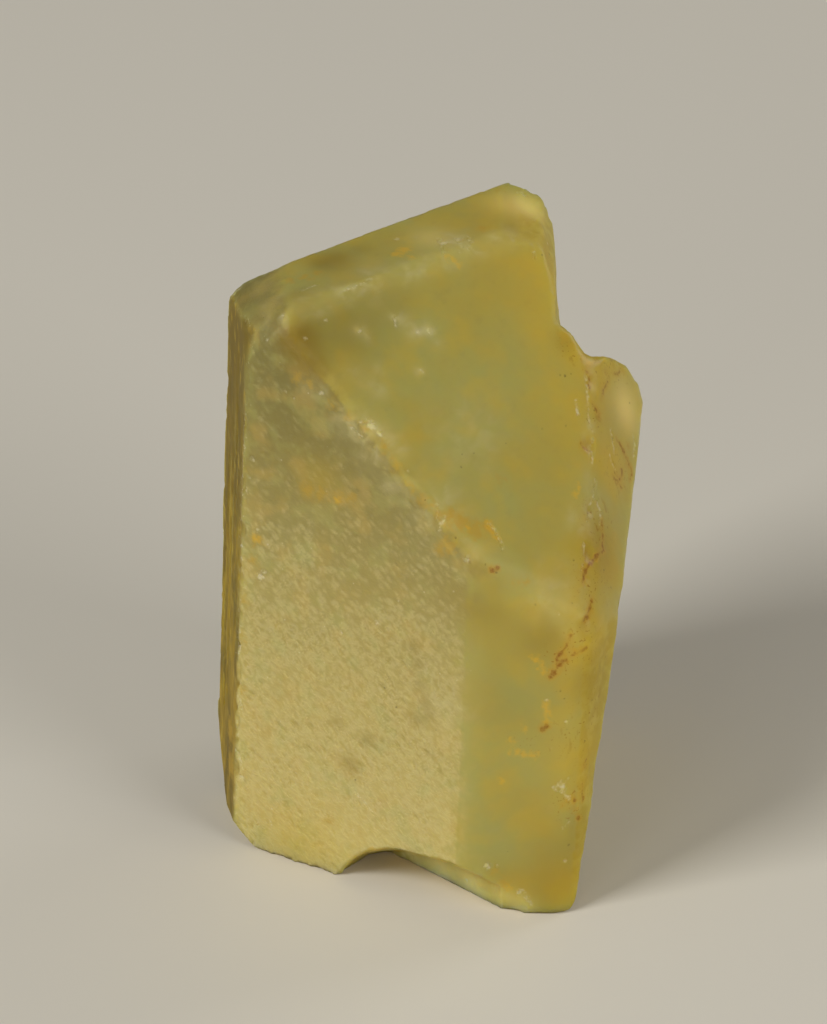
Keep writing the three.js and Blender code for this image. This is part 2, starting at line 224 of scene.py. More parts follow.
DARK_SPECKS = (
    (486, 565, 0.06), (536, 605, 0.06), (565, 376, 0.06), (571, 374, 0.04), (630, 403, 0.05),
    (384, 688, 0.07), (355, 780, 0.07), (396, 707, 0.06), (436, 730, 0.06), (556, 692, 0.05),
    (560, 691, 0.04), (570, 846, 0.07), (498, 573, 0.05), (474, 453, 0.04), (462, 454, 0.04),
    (506, 443, 0.05), (461, 467, 0.04), (560, 375, 0.05), (595, 410, 0.07), (604, 503, 0.05),
    (604, 570, 0.06), (611, 587, 0.05), (614, 578, 0.04), (596, 669, 0.06), (564, 699, 0.06),
    (567, 730, 0.05), (587, 742, 0.05), (572, 603, 0.05), (574, 560, 0.05), (542, 255, 0.05),
    (549, 254, 0.05), (457, 242, 0.04), (464, 246, 0.04), (595, 438, 0.05), (613, 438, 0.06),
    (600, 461, 0.04), (566, 426, 0.05), (542, 429, 0.04), (588, 765, 0.05), (583, 795, 0.05),
    (607, 657, 0.05), (585, 576, 0.05), (603, 546, 0.05), (456, 538, 0.05), (404, 481, 0.05),
    (425, 500, 0.05), (299, 292, 0.05), (508, 852, 0.04), (592, 700, 0.04),
)
FROST_LINES = (
    (0.07, (587, 376), (588, 393), (590, 415), (593, 440), (594, 462)),
    (0.05, (597, 478), (594, 498), (589, 520)), (0.07, (585, 543), (586, 556), (583, 570)),
    (0.06, (576, 400), (578, 416)), (0.08, (611, 430), (613, 440), (614, 452)),
    (0.06, (610, 455), (612, 462), (615, 470)), (0.09, (634, 436), (635, 446), (634, 457)),
    (0.05, (355, 792), (364, 802), (373, 814)), (0.06, (488, 524), (495, 530), (500, 540), (503, 550)),
    (0.05, (437, 505), (438, 512), (437, 520)), (0.06, (446, 517), (443, 525), (438, 531)),
    (0.06, (360, 424), (368, 420), (376, 424)), (0.05, (372, 420), (374, 430)),
    (0.05, (352, 428), (362, 437)), (0.05, (438, 238), (442, 246), (444, 254)),
    (0.05, (455, 238), (461, 244), (460, 252)), (0.05, (468, 236), (472, 243), (469, 250)),
    (0.05, (556, 787), (562, 782), (570, 778)), (0.05, (556, 790), (564, 794), (570, 800)),
    (0.05, (563, 828), (568, 825), (572, 822)), (0.06, (522, 890), (527, 897), (531, 904)),
    (0.07, (534, 252), (535, 258)), (0.06, (234, 294), (239, 288), (245, 283)),
    (0.05, (394, 317), (396, 326)), (0.05, (428, 329), (430, 335)), (0.05, (421, 370), (423, 374)),
    (0.05, (345, 290), (372, 278)), (0.04, (302, 290), (318, 284)), (0.07, (246, 486), (247, 493)),
    (0.07, (240, 700), (242, 708), (238, 722)), (0.07, (237, 753), (240, 761), (242, 768)),
    (0.05, (597, 500), (601, 512), (600, 524)),
)
# White spots: frosted chips, and painted glints and sparkles where light catches the matte face, its left
# edge and the foot chip.
FROST_AND_GLINT_SPOTS = (
    (372, 426, 0.3), (380, 433, 0.2), (441, 523, 0.12), (469, 562, 0.16), (465, 561, 0.1), (260, 577, 0.3),
    (264, 572, 0.15), (397, 239, 0.16), (445, 243, 0.15), (461, 239, 0.12), (470, 240, 0.12),
    (524, 195, 0.2), (518, 193, 0.1), (547, 243, 0.16), (563, 787, 0.25), (554, 787, 0.12), (571, 797, 0.1),
    (487, 866, 0.2), (497, 866, 0.1), (520, 892, 0.2), (527, 898, 0.14), (561, 615, 0.08), (360, 332, 0.1),
    (418, 332, 0.06), (321, 393, 0.2), (341, 633, 0.1), (376, 623, 0.14), (325, 320, 0.05),
    (240, 288, 0.15), (424, 741, 0.14), (466, 881, 0.1), (305, 339, 0.1), (252, 458, 0.18),
    (250, 434, 0.08), (250, 406, 0.08), (249, 478, 0.1), (257, 530, 0.12), (247, 522, 0.08),
    (245, 586, 0.1), (241, 778, 0.18), (258, 825, 0.1), (270, 822, 0.08), (260, 315, 0.08),
    (279, 312, 0.08), (265, 339, 0.08), (285, 391, 0.1), (294, 399, 0.06), (566, 861, 0.12),
    (566, 722, 0.08), (551, 749, 0.06), (546, 700, 0.06), (408, 471, 0.08), (285, 422, 0.05),
    (552, 671, 0.05),
)
MARKS = {
    "tan": (TAN_PATCHES,), "orange": (ORANGE_SPOTS, ORANGE_LINES), "rust": (RUST_SPOTS, RUST_LINES),
    "speck": (DARK_SPECKS,), "frost_and_glints": (FROST_AND_GLINT_SPOTS, FROST_LINES),
}

# Broad tints, by column and row, with a reach in millimetres and a strength.
# Warm honey, partly the stone's own warmer zones and partly a painted glow where light shines through the
# right edge, the top corner and the foot.
HONEY_AND_GLOW_TINTS = (
    (545, 270, 3.2, 0.55), (540, 330, 2.0, 0.5), (570, 400, 3.0, 0.5), (600, 375, 1.6, 0.8),
    (610, 465, 2.4, 0.9), (598, 560, 2.6, 0.8), (590, 650, 2.8, 0.6), (580, 760, 3.0, 0.6),
    (565, 890, 2.6, 0.9), (300, 850, 3.0, 0.45), (520, 885, 1.6, 0.4), (320, 480, 1.6, 0.35),
    (575, 352, 1.2, 0.8), (505, 205, 2.0, 0.6), (608, 362, 1.4, 0.8), (622, 366, 1.0, 0.7),
    (398, 855, 0.6, 0.6),
)
# Darker olive-brown, partly the stone's own deeper colour and partly painted shade, as on the upper matte
# face and near the foot.
DEEP_AND_SHADE_TINTS = (
    (303, 335, 1.5, 0.9), (300, 352, 1.3, 0.9), (345, 330, 2.4, 0.5), (300, 300, 1.2, 0.4),
    (380, 300, 2.4, 0.35), (320, 264, 0.7, 0.35), (340, 257, 0.8, 0.4), (360, 249, 0.8, 0.35),
    (290, 420, 3.2, 0.15), (600, 550, 2.0, 0.5), (500, 880, 1.2, 0.3), (545, 640, 1.6, 0.4),
    (480, 605, 2.0, 0.35), (318, 366, 1.0, 0.5), (330, 262, 1.4, 0.6), (550, 885, 2.4, 0.45),
    (572, 850, 2.0, 0.35), (590, 680, 2.0, 0.25), (510, 700, 3.0, 0.15), (566, 342, 0.8, 0.4),
    (413, 645, 0.5, 0.4), (417, 665, 0.5, 0.4), (421, 685, 0.5, 0.4), (425, 703, 0.5, 0.45),
    (429, 716, 0.5, 0.4), (350, 764, 0.7, 0.45), (368, 740, 0.6, 0.4), (416, 719, 0.6, 0.35),
    (337, 722, 0.5, 0.3),
)
# Pale cream, mostly painted light: the chip under the overhang lit as if light reached it, a painted sheen on
# the rounded top corner, lighter spots on the bevel and the lower matte face, with a few of the stone's own
# pale flecks.
PALE_AND_LIT_TINTS = (
    (440, 872, 1.4, 1.0), (470, 884, 1.3, 0.9), (500, 900, 1.3, 0.45), (522, 908, 0.8, 0.6),
    (528, 206, 1.3, 0.9), (508, 206, 1.4, 0.4), (340, 850, 3.0, 0.15), (626, 408, 1.6, 0.75),
    (430, 238, 1.4, 0.35), (262, 288, 1.0, 0.25), (268, 306, 0.9, 0.2), (412, 862, 1.2, 0.8),
    (357, 330, 0.25, 0.25), (428, 329, 0.3, 0.25), (421, 372, 0.2, 0.25),
)
MILKY_TINTS = (
    (560, 595, 1.8, 0.6), (440, 505, 1.8, 0.5), (375, 430, 1.0, 0.6), (455, 242, 1.4, 0.6),
    (370, 278, 1.8, 0.5), (470, 430, 2.8, 0.35), (440, 700, 2.2, 0.4), (595, 500, 1.2, 0.3),
    (312, 388, 0.8, 0.7), (345, 418, 0.8, 0.6), (362, 434, 0.8, 0.6), (395, 447, 0.8, 0.6),
    (470, 560, 0.9, 0.6), (264, 325, 0.9, 0.5), (274, 300, 0.9, 0.4), (580, 520, 0.9, 0.6),
    (592, 430, 0.6, 0.6), (405, 322, 0.6, 0.4), (437, 345, 0.5, 0.4), (355, 372, 0.8, 0.4),
    (377, 390, 0.7, 0.5), (358, 331, 0.5, 0.8), (366, 338, 0.4, 0.6), (395, 318, 0.4, 0.7),
    (418, 331, 0.5, 0.8), (429, 328, 0.5, 0.8), (421, 371, 0.4, 0.8), (380, 369, 0.4, 0.6),
    (411, 339, 0.4, 0.5), (370, 458, 1.2, 0.5), (392, 486, 1.0, 0.4), (340, 430, 0.9, 0.3),
)
# Where iron has crept into fine cracks.
IRON_TINTS = (
    (603, 365, 1.4, 0.9), (595, 420, 1.2, 0.6), (617, 470, 1.6, 0.8), (600, 520, 1.8, 0.8),
    (595, 580, 2.0, 0.8), (585, 650, 2.0, 0.7), (580, 740, 2.0, 0.5), (575, 805, 1.6, 0.7),
    (548, 255, 0.8, 0.5), (558, 660, 1.0, 0.8), (525, 745, 1.4, 0.5), (595, 700, 2.0, 0.5),
    (568, 342, 1.0, 0.8), (577, 358, 0.8, 0.6), (230, 760, 2.4, 0.8), (620, 370, 1.2, 0.7),
)
BROAD_TINTS = {
    "honey": HONEY_AND_GLOW_TINTS, "deep": DEEP_AND_SHADE_TINTS, "pale": PALE_AND_LIT_TINTS, "milky": MILKY_TINTS, "iron": IRON_TINTS,
}


def add(thing):
    """Puts an object in the scene."""
    bpy.context.scene.collection.objects.link(thing)
    return thing


def make_camera():
    """The camera, where the photograph was taken from."""
    data = bpy.data.cameras.new("camera")
    data.sensor_width = SENSOR_SIZE
    data.lens = SENSOR_SIZE * CAMERA_DISTANCE * PIXELS_PER_MM / (PICTURE_HEIGHT * MM)
    camera = add(bpy.data.objects.new("camera", data))
    camera.location = CAMERA_AIM + TOWARDS_CAMERA * CAMERA_DISTANCE
    camera.rotation_euler = (math.pi / 2 - CAMERA_RISE, 0, 0)
    bpy.context.scene.camera = camera


def smooth_step(start, end, value):
    """0 at start, 1 at end and smooth between them."""
    share = np.clip((value - start) / (end - start), 0, 1)
    return share * share * (3 - 2 * share)


def uneven(places, size):
    """Noise from about -1 to 1 at each place, with features of this size."""
    return np.array([noise.fractal(Vector(place) / size, *UNEVEN_WAVES) for place in places])


def outward(facing, lean=AXIS_LEAN):
    """The unit vector out of a face, from its facing and rise in degrees."""
    turn, rise = (math.radians(v) for v in facing)
    level = math.cos(rise)
    x, y, z = level * math.sin(turn), -level * math.cos(turn), math.sin(rise)
    return np.array([x * math.cos(lean) + z * math.sin(lean), y, z * math.cos(lean) - x * math.sin(lean)])


def vectors_of(points, name):
    """A vector from each of a mesh's points, one to a row."""
    values = np.zeros(len(points) * 3, np.float32)
    points.foreach_get(name, values)
    return values.reshape(-1, 3).astype(float)


def move_points(mesh, places):
    """Puts the mesh's points in these places."""
    mesh.vertices.foreach_set("co", places.astype(np.float32).ravel())
    mesh.update()


def merged_copy(source):
    """The CAD solid's mesh with its loose triangles joined."""
    mesh = source.data.copy()
    shape = bmesh.new()
    shape.from_mesh(mesh)
    bmesh.ops.remove_doubles(shape, verts=shape.verts, dist=SAME_POINT)
    shape.to_mesh(mesh)
    shape.free()
    return mesh


def nearby(points):
    """A tree that finds the nearest of the points."""
    tree = KDTree(len(points))
    for i, point in enumerate(points):
        tree.insert(point, i)
    tree.balance()
    return tree


class Stone:
    """The solid as it is asked about: its planes, its creases and where a picture point lands on it."""

    def __init__(self, mesh):
        self.shape = bmesh.new()
        self.shape.from_mesh(mesh)
        self.hits = BVHTree.FromBMesh(self.shape)
        self.normals = np.array([face.normal for face in self.shape.faces])
        self.middles = np.array([face.calc_center_median() for face in self.shape.faces])
        self.areas = np.array([face.calc_area() for face in self.shape.faces])

    def plane(self, facing):
        """A face's normal, and its plane's distance from the origin."""
        normal = outward(facing)
        same = (self.normals @ normal > SAME_PLANE) * self.areas
        return normal, float(same @ (self.middles @ normal) / same.sum())

    def under(self, column, row):
        """The point of the stone that the photograph shows in this column and row."""
        across = PICTURE_RIGHT * (column - PICTURE_WIDTH / 2)
        upwards = PICTURE_UP * (PICTURE_HEIGHT / 2 - row)
        seen = CAMERA_AIM + (across + upwards) * MM / PIXELS_PER_MM
        eye = CAMERA_AIM + TOWARDS_CAMERA * CAMERA_DISTANCE
        hit = self.hits.ray_cast(eye, (seen - eye).normalized())[0]
        if hit is None:
            hit = self.hits.find_nearest(seen)[0]
        return np.array(hit)

    def crease_points(self):
        """Points along the long edges where two faces meet at an angle."""
        points = []
        for edge in self.shape.edges:
            one, other = edge.link_faces
            length = edge.calc_length()
            if length > CREASE_LENGTH and one.normal.dot(other.normal) < CREASE_TURN:
                start, end = (vertex.co for vertex in edge.verts)
                steps = math.ceil(length / CREASE_STEP)
                points += [start.lerp(end, i / steps) for i in range(steps + 1)]
        return points


def distance_to_line(places, corners):
    """How far each place is from the nearest stretch of a line through the corners."""
    nearest = np.full(len(places), np.inf)
    for start, end in zip(corners, corners[1:]):
        run = end - start
        along = np.clip((places - start) @ run / (run @ run), 0, 1)
        nearest = np.minimum(nearest, np.linalg.norm(places - start - along[:, None] * run, axis=1))
    return nearest


def mark_depth(places, stone, spots, lines=()):
    """How far inside the nearest spot or line each place is, below 0 outside them."""
    inside = np.full(len(places), -1.0)
    for column, row, radius in spots:
        reach = np.linalg.norm(places - stone.under(column, row), axis=1)
        inside = np.maximum(inside, radius * MM - reach)
    for half_width, *points in lines:
        corners = [stone.under(*point) for point in points]
        inside = np.maximum(inside, half_width * MM - distance_to_line(places, corners))
    return inside


def tint(places, stone, tints):
    """The strength of broad tints that fade out from their middles."""
    left = np.ones(len(places))
    for column, row, reach, strength in tints:
        away = np.linalg.norm(places - stone.under(column, row), axis=1)
        left *= 1 - strength * np.exp(-((away / (reach * MM)) ** 2))
    return 1 - left


def baked(piece):
    """The piece's mesh with its modifiers applied."""
    seen = piece.evaluated_get(bpy.context.evaluated_depsgraph_get())
    mesh = bpy.data.meshes.new_from_object(seen)
    piece.modifiers.clear()
    return mesh


def halve_faces(mesh, wanted):
    """Splits each wanted face in four."""
    shape = bmesh.new()
    shape.from_mesh(mesh)
    edges = {edge for face in shape.faces if wanted(face) for edge in face.edges}
    bmesh.ops.subdivide_edges(shape, edges=list(edges), cuts=1, use_grid_fill=True)
    shape.to_mesh(mesh)
    shape.free()


def seen_in_picture(face):
    """Whether a face of the mesh looks towards the camera."""
    return face.normal.dot(TOWARDS_CAMERA) > SEEN_FACING


def mark_points(stone):
    """Points along the fine marks."""
    spots = [stone.under(*spot[:2]) for spot in RUST_SPOTS + DARK_SPECKS + FROST_AND_GLINT_SPOTS]
    lines = []
    for _, *points in RUST_LINES + FROST_LINES:
        corners = [stone.under(*point) for point in points]
        for start, end in zip(corners, corners[1:]):
            steps = math.ceil(np.linalg.norm(end - start) / MARK_REACH)
            lines += [start + (end - start) * i / steps for i in range(steps + 1)]
    return spots + lines


def even_surface(stone):
    """The solid in small squares, finer where more shows, each corner drawn back on to the solid."""
    piece = add(bpy.data.objects.new("raw_topaz", merged_copy(solid)))
    squares = piece.modifiers.new("squares", "REMESH")
    squares.mode = "VOXEL"
    squares.voxel_size = MESH_STEP
    piece.data = baked(piece)
    halve_faces(piece.data, seen_in_picture)
    normal, reach = stone.plane(MATTE)
    matte = Vector(normal)
    marks = nearby(mark_points(stone))

    def fine(face):
        middle = face.calc_center_median()
        on_matte = face.normal.dot(matte) > FACING_ALIKE and abs(middle.dot(matte) - reach) < ON_FACE
        return on_matte or marks.find(middle)[2] < MARK_REACH

    halve_faces(piece.data, fine)
    draw_back = piece.modifiers.new("draw back", "SHRINKWRAP")
    draw_back.target = solid
    draw_back.wrap_method = "NEAREST_SURFACEPOINT"
    piece.data = baked(piece)
    return piece


def surface_shares(places, normals, stone):
    """How much each point belongs to each kind of surface, in shares that add up to 1."""
    away = {}
    for kind, facings in SURFACES.items():
        planes = [stone.plane(facing) for facing in facings]
        off = [np.abs(places @ out - reach) + TURNED_AWAY * (1 - normals @ out) for out, reach in planes]
        away[kind] = np.min(off, axis=0)
    nearest = np.min(list(away.values()), axis=0)
    away["etched"] = away["etched"] + RAGGED * uneven(places, RAGGED_SIZE)
    blends = {kind: np.clip((off - nearest) / BLEND, -MOST_BLENDS, MOST_BLENDS) for kind, off in away.items()}
    weights = {kind: np.exp(-blend) for kind, blend in blends.items()}
    total = sum(weights.values())
    broken = smooth_step(BROKEN_NEAR, BROKEN_FAR, nearest)
    shares = {kind: weight / total * (1 - broken) for kind, weight in weights.items()}
    return shares | {"broken": broken}


def along_edges(places, stone, edges):
    """1 on the edges between pairs of faces, fading to 0 at their reach."""
    share = np.zeros(len(places))
    for *pair, reach in edges:
        near = 1
        for facing in pair:
            normal, plane_reach = stone.plane(facing)
            near = near * (1 - smooth_step(0, reach, np.abs(places @ normal - plane_reach)))
        share = np.maximum(share, near)
    return share


def rounded(places, stone):
    """The places, drawn in along the worn edges, more in some stretches than in others."""
    stretches = np.clip(USUAL_WIDTH + WIDTH_SPREAD * uneven(places, WIDTH_STRETCH), *WIDTH_LIMITS)
    moved = places.copy()
    for *pair, reach in ROUNDED_EDGES:
        (one, one_reach), (other, other_reach) = (stone.plane(facing) for facing in pair)
        below_one, below_other = one_reach - places @ one, other_reach - places @ other
        width = reach * stretches
        near = np.clip(1 - np.abs(below_one - below_other) / width, 0, 1)
        near *= 1 - smooth_step(ON_FACE, 2 * ON_FACE, np.minimum(below_one, below_other))
        between = (one + other) / np.linalg.norm(one + other)
        moved -= (near**2 * width / 4 / (one @ between))[:, None] * between
    return moved


def round_edges(piece, stone):
    """Rounds the worn edges and evens the mesh along them."""
    places = vectors_of(piece.data.vertices, "co")
    softness = along_edges(places, stone, ROUNDED_EDGES)
    move_points(piece.data, rounded(places, stone))
    group = piece.vertex_groups.new(name="soft edges")
    for i in np.flatnonzero(softness):
        group.add([int(i)], float(softness[i]), "REPLACE")
    smooth = piece.modifiers.new("even", "SMOOTH")
    smooth.factor = EVENING_SHARE
    smooth.iterations = EVENING_PASSES
    smooth.vertex_group = group.name
    piece.data = baked(piece)
    piece.vertex_groups.clear()


def write_values(mesh, name, values):
    """Leaves a value on each point of the mesh."""
    attribute = mesh.attributes.new(name, "FLOAT", "POINT")
    attribute.data.foreach_set("value", np.asarray(values, np.float32))


def write_surface(mesh, stone):
    """Notes on each point of the mesh what kind of surface it is and which marks are near it."""
    places = vectors_of(mesh.vertices, "co")
    normals = vectors_of(mesh.vertex_normals, "vector")
    shares = surface_shares(places, normals, stone)
    for kind, share in shares.items():
        write_values(mesh, kind, share)
    for name, (kind, facing, start, whole) in OWN_MARKS.items():
        write_values(mesh, name, shares[kind] * smooth_step(start, whole, normals @ outward(facing)))
    creases = nearby(stone.crease_points())
    write_values(mesh, "edge", [creases.find(place)[2] for place in places])
    chipped = along_edges(places, stone, CHIPPED_EDGES)
    polished = along_edges(places, stone, SMOOTH_EDGES)
    write_values(mesh, "wear", np.clip(USUAL_WEAR + (1 - USUAL_WEAR) * chipped - polished, 0, 1))
    for name, edges in EDGE_LOOKS.items():
        write_values(mesh, name, along_edges(places, stone, edges))
    for name, marks in MARKS.items():
        write_values(mesh, name, mark_depth(places, stone, *marks))
    for name, tints in BROAD_TINTS.items():
        write_values(mesh, name, tint(places, stone, tints))


class Nodes:
    """A short way to write a node tree."""

    def __init__(self, tree):
        self.tree = tree

    def put(self, kind, values=(), **settings):
        """A new node with these settings, and with these values or links in its sockets."""
        node = self.tree.nodes.new(kind)
        for name, value in settings.items():
            setattr(node, name, value)
        for socket, value in dict(values).items():
            self.feed(node.inputs[socket], value)
        return node

    def feed(self, socket, value):
        """Links a socket to another, or sets its value."""
        if isinstance(value, bpy.types.NodeSocket):
            self.tree.links.new(value, socket)
        else:
            socket.default_value = value

    def math(self, operation, *values):
        return self.put("ShaderNodeMath", enumerate(values), operation=operation).outputs[0]

    def times(self, first, *others):
        for other in others:
            first = self.math("MULTIPLY", first, other)
        return first

    def plus(self, first, *others):
        for other in others:
            first = self.math("ADD", first, other)
        return first

    def minus(self, one, other):
        return self.math("SUBTRACT", one, other)

    def at_least(self, least, share):
        """A share from 0 to 1, raised to run from least to 1."""
        return self.plus(least, self.times(1 - least, share))

    def vector(self, operation, *values):
        node = self.put("ShaderNodeVectorMath", enumerate(values), operation=operation)
        return node.outputs["Value" if operation == "DOT_PRODUCT" else "Vector"]

    def scaled(self, vector, factor):
        values = {"Vector": vector, "Scale": factor}
        return self.put("ShaderNodeVectorMath", values, operation="SCALE").outputs["Vector"]

    def fade(self, value, start, end):
        """0 at start, 1 at end and smooth between them."""
        values = {"Value": value, "From Min": start, "From Max": end}
        return self.put("ShaderNodeMapRange", values, interpolation_type="SMOOTHSTEP").outputs["Result"]

    def noise(self, place, size, detail=2.0, warp=0.0, output=0):
        """Noise from 0 to 1, with features of this size. Output 1 gives three such numbers."""
        scale = self.math("DIVIDE", 1.0, size)
        values = {"Vector": place, "Scale": scale, "Detail": detail, "Distortion": warp}
        return self.put("ShaderNodeTexNoise", values).outputs[output]

    def patches(self, place, size, start, whole, detail=3, warp=0.0):
        """Patches of this size, where noise rises from where they start to where they are whole."""
        return self.fade(self.noise(place, size, detail, warp), start, whole)

    def grain(self, place, size, reach, detail=3):
        """Noise that moves a border either way by up to half the reach."""
        return self.times(self.minus(self.noise(place, size, detail), 0.5), reach)

    def bent(self, place, size, reach, detail=2.0):
        """The place, moved by up to this reach in waves of this size."""
        return self.vector("ADD", place, self.scaled(self.noise(place, size, detail, output=1), reach))

    def cells(self, place, size=1.0, feature="F1", dimensions="3D"):
        """Cells of this size: how far a place is from its cell's point, and a number drawn for the cell."""
        node = self.put("ShaderNodeTexVoronoi", feature=feature, voronoi_dimensions=dimensions)
        self.feed(node.inputs["Vector"], place)
        self.feed(node.inputs["Scale"], self.math("DIVIDE", 1.0, size))
        drawn = self.put("ShaderNodeSeparateXYZ", {"Vector": node.outputs["Color"]}).outputs["X"]
        return node.outputs["Distance"], drawn

    def part(self, vector, axis):
        return self.put("ShaderNodeSeparateXYZ", {"Vector": vector}).outputs[axis]


def on_plane(t, place, along, across, length, width):
    """Flat coordinates in steps of length along one way and of width across it."""
    u = t.math("DIVIDE", t.vector("DOT_PRODUCT", place, along), length)
    v = t.math("DIVIDE", t.vector("DOT_PRODUCT", place, across), width)
    return t.put("ShaderNodeCombineXYZ", {"X": u, "Y": v}).outputs[0]


def slanting_ways(facing, slant):
    """The ways along and across a slant on a face: 0 is level to the right, and 90 is up."""
    out = Vector(outward(facing))
    level = Vector((0, 0, 1)).cross(out).normalized()
    up = out.cross(level)
    turn = math.radians(slant)
    along = level * math.cos(turn) + up * math.sin(turn)
    return tuple(along), tuple(out.cross(along))


def piece_tree(name, sizes=()):
    """A node tree for the piece: its nodes, its inputs with one for each size, and each point's place."""
    tree = bpy.data.node_groups.new(name, "GeometryNodeTree")
    tree.is_modifier = True
    sockets = tree.interface
    sockets.new_socket("Surface", in_out="OUTPUT", socket_type="NodeSocketGeometry")
    sockets.new_socket("Surface", in_out="INPUT", socket_type="NodeSocketGeometry")
    for size in sizes:
        sockets.new_socket(size, in_out="INPUT", socket_type="NodeSocketFloat")
    sockets.new_socket("Finish", in_out="INPUT", socket_type="NodeSocketMaterial")
    t = Nodes(tree)
    given = t.put("NodeGroupInput").outputs
    return t, given, t.put("GeometryNodeInputPosition").outputs[0]


def with_note(t, surface, name, value, kind):
    """The surface with a value left on its points."""
    values = {"Geometry": surface, "Name": name, "Value": value}
    return t.put("GeometryNodeStoreNamedAttribute", values, data_type=kind, domain="POINT").outputs[0]


def finished(t, surface, finish):
    """The tree, ended with the surface in its finish."""
    whole = t.put("GeometryNodeRealizeInstances", {"Geometry": surface}).outputs[0]
    covered = t.put("GeometryNodeSetMaterial", {"Geometry": whole, "Material": finish}).outputs[0]
    t.put("NodeGroupOutput", {"Surface": covered})
    return t.tree


def relief_tree(name, sizes, depth_of):
    """A node tree that sinks the surface by a depth worked out from its named sizes."""
    t, given, place = piece_tree(name, sizes)
    depth = depth_of(t, place, given)
    normal = t.put("GeometryNodeInputNormal").outputs["Normal"]
    sunk = t.scaled(normal, t.times(depth, -1.0))
    surface = with_note(t, given["Surface"], name, depth, "FLOAT")
    moved = t.put("GeometryNodeSetPosition", {"Geometry": surface, "Offset": sunk}).outputs[0]
    return finished(t, moved, given["Finish"])


def noted(t, name):
    """A value that was left on the mesh, as its node trees read it."""
    return t.put("GeometryNodeInputNamedAttribute", {"Name": name}, data_type="FLOAT").outputs[0]


def shade(t, name):
    """A value that was left on the mesh, as a material reads it."""
    return t.put("ShaderNodeAttribute", attribute_name=name).outputs["Fac"]


# Relief, which is how far the surface sinks, starts just above the foot's flat base. The etch pits slant two
# ways, in degrees, and deepen down the matte face between two heights.
FOOT_RISE = 0.3 * MM
PIT_SLANT = -36
SECOND_PIT_SLANT = -52
SEED = 7
SECOND_SEED = 31
PITS_TOP = 29 * MM
PITS_FOOT = 8 * MM


def above_foot(t, place):
    """0 at the foot's flat base and 1 just above it, so that the stone still stands flat."""
    return t.fade(t.part(place, "Z"), 0.0, FOOT_RISE)


def slanting_pits(t, place, slant, length, width, seed):
    """Long cups on the matte face along one slant, some deep and most shallow."""
    bend_size, bend_widths, rim, floor, shallowest, rarity = 1.4 * MM, 2.0, 0.7, 0.05, 0.15, 2.5
    along, across = slanting_ways(MATTE, slant)
    wander = t.times(t.noise(place, bend_size), width, bend_widths)
    flat = on_plane(t, t.vector("ADD", place, t.scaled(across, wander)), along, across, length, width)
    shifted = t.vector("ADD", flat, t.put("ShaderNodeCombineXYZ", {"X": seed}).outputs[0])
    away, drawn = t.cells(shifted, dimensions="2D")
    return t.times(t.fade(away, rim, floor), t.at_least(shallowest, t.math("POWER", drawn, rarity)))


def downwards(t, place):
    """Nothing on the upper part of the matte face, and the whole near its foot."""
    return t.fade(t.part(place, "Z"), PITS_TOP, PITS_FOOT)


def etch_pit_depth(t, place, given):
    """Slanting pits of two sizes crowd the matte face, deep in patches, and shallower higher up."""
    second_length, second_width, second_depth = 0.6, 0.75, 0.6
    deep_patches, between_them, near_top = (3 * MM, 0.35, 0.6, 2), 0.4, 0.1
    large = slanting_pits(t, place, PIT_SLANT, given["Pit Length"], given["Pit Width"], given["Seed"])
    short = t.times(given["Pit Length"], second_length)
    narrow = t.times(given["Pit Width"], second_width)
    small = slanting_pits(t, place, SECOND_PIT_SLANT, short, narrow, given["Second Seed"])
    patches = t.at_least(between_them, t.patches(place, *deep_patches))
    worn = t.at_least(near_top, downwards(t, place))
    both = t.plus(large, t.times(small, second_depth))
    return t.times(both, patches, worn, given["Pit Depth"], noted(t, "pitted"))


def swell_depth(t, place, given):
    """Low swells on the grown faces."""
    swell = t.minus(t.noise(place, given["Swell Size"], 4), 0.5)
    return t.times(swell, given["Swell Depth"], above_foot(t, place))


def stria_depth(t, place, given):
    """Fine lines down the sides, along the axis: coarse ones with finer ones between."""
    coarse_share, fine_share, fine_spacing, middle = 0.7, 0.3, 0.37, 0.2
    drawn_out = t.vector("MULTIPLY", place, (1, 1, 0.045))
    coarse = t.noise(drawn_out, given["Line Spacing"], 3)
    fine = t.noise(drawn_out, t.times(given["Line Spacing"], fine_spacing), 2)
    both = t.plus(t.times(coarse, coarse_share), t.times(fine, fine_share))
    ridged = t.math("ABSOLUTE", t.minus(t.times(both, 2.0), 1.0))
    return t.times(given["Line Depth"], t.minus(middle, ridged), noted(t, "striated"))


def break_depth(t, place, given):
    """Uneven broken stone: shell-like hollows with ridges between them, and finer roughness."""
    bend_size, bend, rim, floor = 2.5 * MM, 1.2 * MM, 0.7, 0.0
    hollow_share, rough_share, rough_size, middle = 0.6, 0.7, 0.3, 0.5
    away, _ = t.cells(t.bent(place, bend_size, bend), given["Hollow Size"], feature="SMOOTH_F1")
    hollows = t.times(t.fade(away, rim, floor), hollow_share)
    rough = t.times(t.noise(place, t.times(given["Hollow Size"], rough_size), 4), rough_share)
    depth = t.minus(t.plus(hollows, rough), middle)
    return t.times(given["Hollow Depth"], depth, noted(t, "broken"), above_foot(t, place))


def wear_depth(t, place, given):
    """Small bites out of the long edges, wherever the number drawn for a cell is high."""
    bitten, rim, floor = (0.45, 0.7), 0.6, 0.1
    near = t.fade(noted(t, "edge"), given["Edge Reach"], 0.0)
    away, drawn = t.cells(place, given["Bite Size"])
    bites = t.times(t.fade(drawn, *bitten), t.fade(away, rim, floor))
    return t.times(given["Bite Depth"], bites, near, noted(t, "wear"), above_foot(t, place))


